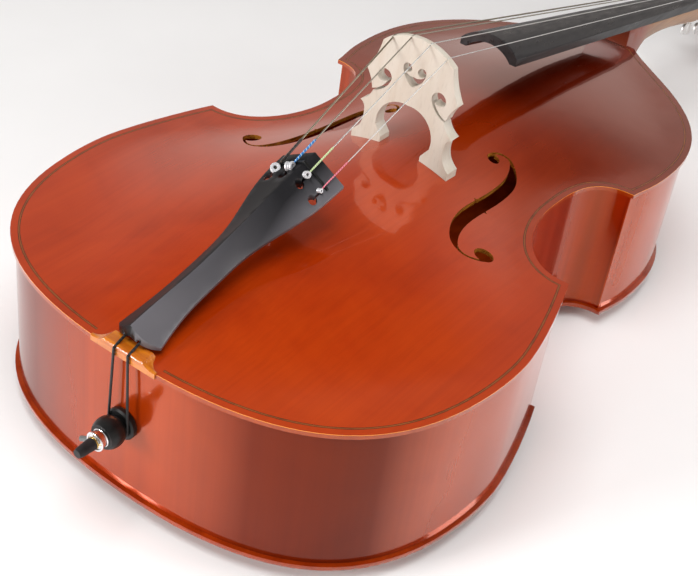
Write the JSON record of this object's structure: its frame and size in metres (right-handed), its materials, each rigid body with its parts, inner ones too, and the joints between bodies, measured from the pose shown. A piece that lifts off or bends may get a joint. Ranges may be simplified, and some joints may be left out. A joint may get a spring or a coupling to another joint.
{
  "type": "double bass",
  "caption": "Double bass with arched body, f-holes, carved bridge, ridged tailpiece, telescoping endpin, scrolled head and worm-geared tuning machines",
  "frame": {"origin": "lowest point of the back, under the middle of the bounding box, with the bass lying on its back", "axes": "+X toward the thinnest string's side, +Y from the endpin to the scroll, +Z out of the top"},
  "size_m": [0.6452, 1.8803, 0.42],
  "materials": {
    "varnished_maple": "gloss red-brown varnish",
    "varnished_spruce": "gloss orange-red varnish",
    "neck_maple": "satin natural neck, varnished scroll",
    "purfling_wood": "inlaid dark line",
    "purfling_core_wood": "inlaid pale line between the dark ones",
    "bare_spruce": "bare",
    "saddle_maple": "lacquered",
    "bridge_maple": "bare, smooth",
    "black_board": "semi-gloss black",
    "ebony": "satin black",
    "ebony_satin": "satin black",
    "gut_cable": "twisted dark cable",
    "chrome": "polished",
    "brass": "turned",
    "steel_rod": "plated rod",
    "rubber": "matt black",
    "string_steel": "wound steel",
    "machine_plate": "polished plate",
    "machine_brass": "cut gear and post",
    "machine_steel": "nickel plated",
    "string_silk": "silk wrapped string end",
    "brass_ball": "plated ball ends"
  },
  "bodies": {
    "bass": {"back_plate": "varnished_maple", "lower_rib_treble": "varnished_maple", "lower_rib_bass": "varnished_maple", "middle_rib_treble": "varnished_maple", "middle_rib_bass": "varnished_maple", "upper_rib_treble": "varnished_maple", "upper_rib_bass": "varnished_maple", "top_plate": "varnished_spruce", "neck_and_scroll": "neck_maple", "top_purfling": "purfling_wood", "back_purfling": "purfling_wood", "top_purfling_core": "purfling_core_wood", "back_purfling_core": "purfling_core_wood", "top_linings": "bare_spruce", "back_linings": "bare_spruce", "end_block": "bare_spruce", "neck_block": "bare_spruce", "corner_blocks": "bare_spruce", "bass_bar": "bare_spruce", "sound_post": "bare_spruce", "saddle": "saddle_maple", "bridge": "bridge_maple", "fingerboard": "black_board", "nut": "ebony", "tailpiece": "ebony_satin", "tailpiece_string_bar": "ebony_satin", "tailgut": "gut_cable", "endpin_plug": "ebony", "endpin_collar": "chrome", "endpin_bush": "brass", "string_e": "string_steel", "machine_e_plate": "machine_plate", "string_a": "string_steel", "machine_a_plate": "machine_plate", "string_d": "string_steel", "machine_d_plate": "machine_plate", "string_g": "string_steel", "machine_g_plate": "machine_plate", "string_ball_ends": "brass_ball", "machine_screws": "machine_steel"},
    "endpin": {"endpin_rod": "steel_rod", "endpin_rubber_tip": "rubber"},
    "endpin_screw": {"endpin_thumbscrew": "chrome"},
    "machine_e_key": {"machine_e_worm_key": "machine_steel"},
    "machine_e_post": {"machine_e_gear_post": "machine_brass", "machine_e_winding": "string_silk"},
    "machine_a_key": {"machine_a_worm_key": "machine_steel"},
    "machine_a_post": {"machine_a_gear_post": "machine_brass", "machine_a_winding": "string_silk"},
    "machine_d_key": {"machine_d_worm_key": "machine_steel"},
    "machine_d_post": {"machine_d_gear_post": "machine_brass", "machine_d_winding": "string_silk"},
    "machine_g_key": {"machine_g_worm_key": "machine_steel"},
    "machine_g_post": {"machine_g_gear_post": "machine_brass", "machine_g_winding": "string_silk"}
  },
  "joints": [
    {"name": "endpin_slide", "type": "slide", "parent": "bass", "child": "endpin", "axis": [0, -1, 0], "range_m": [0, 0.22]},
    {"name": "endpin_screw_turn", "type": "hinge", "parent": "bass", "child": "endpin_screw", "pos_m": [-0.01212, -0.90968, 0.118], "axis": [-0.866, 0, -0.5], "range_deg": [0, 180]},
    {"name": "machine_e_key_turn", "type": "hinge", "parent": "bass", "child": "machine_e_key", "pos_m": [-0.036, 0.72227, 0.13185], "axis": [0, 0.2829, 0.9592], "continuous": true},
    {"name": "machine_e_post_turn", "type": "hinge", "parent": "bass", "child": "machine_e_post", "pos_m": [0, 0.70366, 0.13734], "axis": [1, 0, 0], "continuous": true},
    {"name": "machine_g_key_turn", "type": "hinge", "parent": "bass", "child": "machine_g_key", "pos_m": [0.036, 0.75296, 0.1228], "axis": [0, 0.2829, 0.9592], "continuous": true},
    {"name": "machine_g_post_turn", "type": "hinge", "parent": "bass", "child": "machine_g_post", "pos_m": [0, 0.73435, 0.12829], "axis": [1, 0, 0], "continuous": true},
    {"name": "machine_a_key_turn", "type": "hinge", "parent": "bass", "child": "machine_a_key", "pos_m": [-0.036, 0.79133, 0.11148], "axis": [0, 0.2829, 0.9592], "continuous": true},
    {"name": "machine_a_post_turn", "type": "hinge", "parent": "bass", "child": "machine_a_post", "pos_m": [0, 0.77272, 0.11697], "axis": [1, 0, 0], "continuous": true},
    {"name": "machine_d_key_turn", "type": "hinge", "parent": "bass", "child": "machine_d_key", "pos_m": [0.036, 0.82202, 0.10243], "axis": [0, 0.2829, 0.9592], "continuous": true},
    {"name": "machine_d_post_turn", "type": "hinge", "parent": "bass", "child": "machine_d_post", "pos_m": [0, 0.80341, 0.10792], "axis": [1, 0, 0], "continuous": true}
  ],
  "couplings": [
    {"joint": "machine_e_post_turn", "follows": "machine_e_key_turn", "ratio": -0.05},
    {"joint": "machine_g_post_turn", "follows": "machine_g_key_turn", "ratio": -0.05},
    {"joint": "machine_a_post_turn", "follows": "machine_a_key_turn", "ratio": -0.05},
    {"joint": "machine_d_post_turn", "follows": "machine_d_key_turn", "ratio": -0.05}
  ]
}
